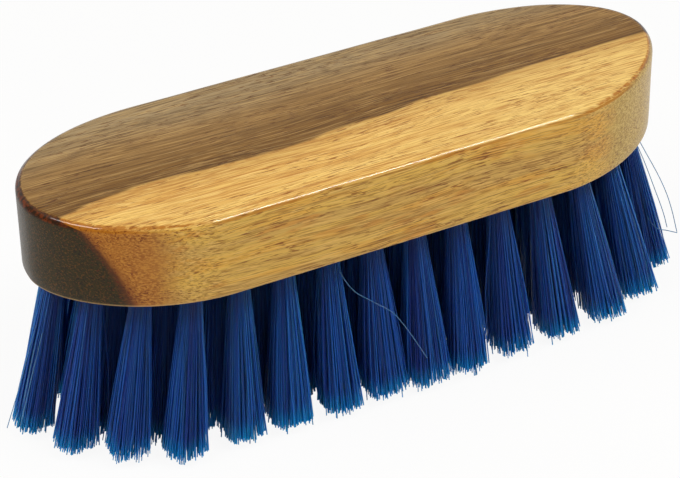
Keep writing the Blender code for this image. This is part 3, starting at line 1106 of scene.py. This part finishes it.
# By row and number, how far a tuft's tips stand to the right of and behind their even place
DRIFTS_SEEN_MM = {
    "outer": {22: (1.4, -0.4), 23: (-1.7, 0.8), 24: (-0.6, 1.8), 25: (-1.2, 1.2), 26: (-1.3, -0.5),
              27: (1.4, 0.1), 28: (1.0, -0.1), 29: (1.5, -1.2), 30: (1.3, -0.3), 1: (0.0, -1.1),
              2: (-1.6, -1.6), 3: (-1.0, -0.1), 4: (0.4, 0.6), 5: (2.4, 0.4), 6: (3.0, 0.6),
              7: (2.6, 1.0)},
    "inner": {19: (0.4, -0.4), 20: (-0.6, -2.2), 21: (0.0, -2.4), 22: (0.8, -1.6), 23: (1.5, -1.8),
              24: (1.2, -1.0)},
    "middle": {}}


def set_inputs(modifier, tree, values):
    """Sets a modifier's inputs by the identifiers of the tree's sockets, which don't change."""
    for item in tree.interface.items_tree:
        if item.in_out == "INPUT" and item.name in values:
            modifier[item.identifier] = values[item.name]


def make_tuft(name, seed):
    """A tuft as a plain mesh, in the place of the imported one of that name."""
    mouth, floor_middle = lines[name]
    own = random.Random(seed)
    drift = Vector((own.uniform(-1, 1), own.uniform(-1, 1), 0)) * TUFT_DRIFT
    row, _, number = name.split("_")
    seen = DRIFTS_SEEN_MM[row].get(int(number))
    if seen:
        drift = Vector((*seen, 0)) / 1000
    at_end = abs(mouth.x) / HALF_LENGTH
    tip_radius = TIP_RADIUS * (1 - END_DRAWN_IN_SHARE * at_end ** 2 + own.uniform(-1, 1) * TUFT_SWELL)
    tuft = add_object("fanned_" + name, bpy.data.meshes.new("fanned_" + name))
    growth = tuft.modifiers.new("fanned_tuft", "NODES")
    growth.node_group = TUFT_TREE
    own_inputs = {"Mouth": mouth, "Floor Middle": floor_middle + drift, "Tip Radius": tip_radius}
    set_inputs(growth, TUFT_TREE, {**TUFT_INPUTS, **own_inputs, "Seed": seed})
    mesh = baked(tuft)
    tuft.modifiers.clear()
    tuft.data = mesh
    tuft.data.name = tuft.name
    tuft.data.shade_smooth()
    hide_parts(name)
    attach(tuft, "root")
    return tuft


tufts = [make_tuft(name, seed) for seed, name in enumerate(TUFTS, start=1)]
print(len(tufts), "tufts,", sum(len(tuft.data.polygons) for tuft in tufts), "faces")

# %% [markdown]
# On a used brush a few filaments have sprung out of their tufts and cross the rest. They are too few
# and too different for a rule, so each has a path of a few given points, from its hole's mouth
# outwards. A curve with a round bevel follows each path, and all of them become one mesh. The
# filament finish still needs its attributes, which are worked out from the height.

# %% Stray filaments
STRAY_THICKNESS = 0.00023
STRAY_SHADE = 0.8
STRAY_STEPS = 6
STRAY_PATHS_MM = (
    ((-18.6, -22.5, 47.2), (-16.9, -25.8, 41.0), (-14.8, -29.0, 36.6), (-10.8, -30.5, 33.0),
     (-4.9, -32.0, 27.9), (-2.4, -33.2, 24.0), (3.2, -35.5, 13.0)),
    ((82.4, 0.8, 47.2), (86.0, -1.2, 39.0), (88.0, -3.3, 33.5), (88.9, -11.1, 23.9), (89.2, -15.2, 18.7),
     (89.0, -17.6, 15.6)),
    ((82.6, -0.4, 47.2), (87.4, -0.9, 38.6), (88.9, -3.1, 34.5), (91.2, -11.5, 25.0), (91.5, -15.2, 20.3),
     (91.1, -19.4, 14.5)),
    ((77.5, -10.2, 47.2), (82.5, -13.6, 27.0), (86.2, -16.1, 15.6), (89.0, -18.1, 14.8), (91.1, -19.6, 14.3)),
    ((-82.5, 2.0, 47.2), (-85.9, 3.6, 36.7), (-90.4, 0.7, 29.8), (-95.8, -3.3, 20.9), (-102.5, -7.8, 10.5)),
    ((-82.5, -1.0, 47.2), (-86.4, -0.6, 36.0), (-92.8, -3.6, 22.0), (-98.6, -6.8, 9.0)),
    ((-82.5, 0.0, 47.2), (-87.6, 1.4, 33.0), (-92.2, -1.2, 23.0), (-95.6, -3.0, 14.0)))


def stray_filaments():
    """One mesh of all the stray filaments, with the two attributes that their finish reads."""
    curve = bpy.data.curves.new("stray_filaments", "CURVE")
    curve.dimensions = "3D"
    curve.bevel_depth = STRAY_THICKNESS / 2
    curve.bevel_resolution = 1
    curve.resolution_u = STRAY_STEPS
    curve.use_fill_caps = True
    for path in STRAY_PATHS_MM:
        spline = curve.splines.new("BEZIER")
        spline.bezier_points.add(len(path) - 1)
        for knot, place in zip(spline.bezier_points, path):
            knot.co = Vector(place) / 1000
            knot.handle_left_type = "AUTO"
            knot.handle_right_type = "AUTO"
    bent = add_object("bent_paths", curve)
    mesh = baked(bent)
    bpy.data.objects.remove(bent, do_unlink=True)
    mesh.name = "stray_filaments"
    mesh.materials.append(PALE_FILAMENT)
    for name in ("along", "shade"):
        mesh.attributes.new(name, "FLOAT", "POINT")
    for vertex in mesh.vertices:
        mesh.attributes["along"].data[vertex.index].value = 1 - vertex.co.z / UNDERSIDE
        mesh.attributes["shade"].data[vertex.index].value = STRAY_SHADE
    mesh.shade_smooth()
    strays = add_object("stray_filaments", mesh)
    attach(strays, "root")
    return strays


strays = stray_filaments()
print(len(STRAY_PATHS_MM), "stray filaments,", len(strays.data.polygons), "faces")
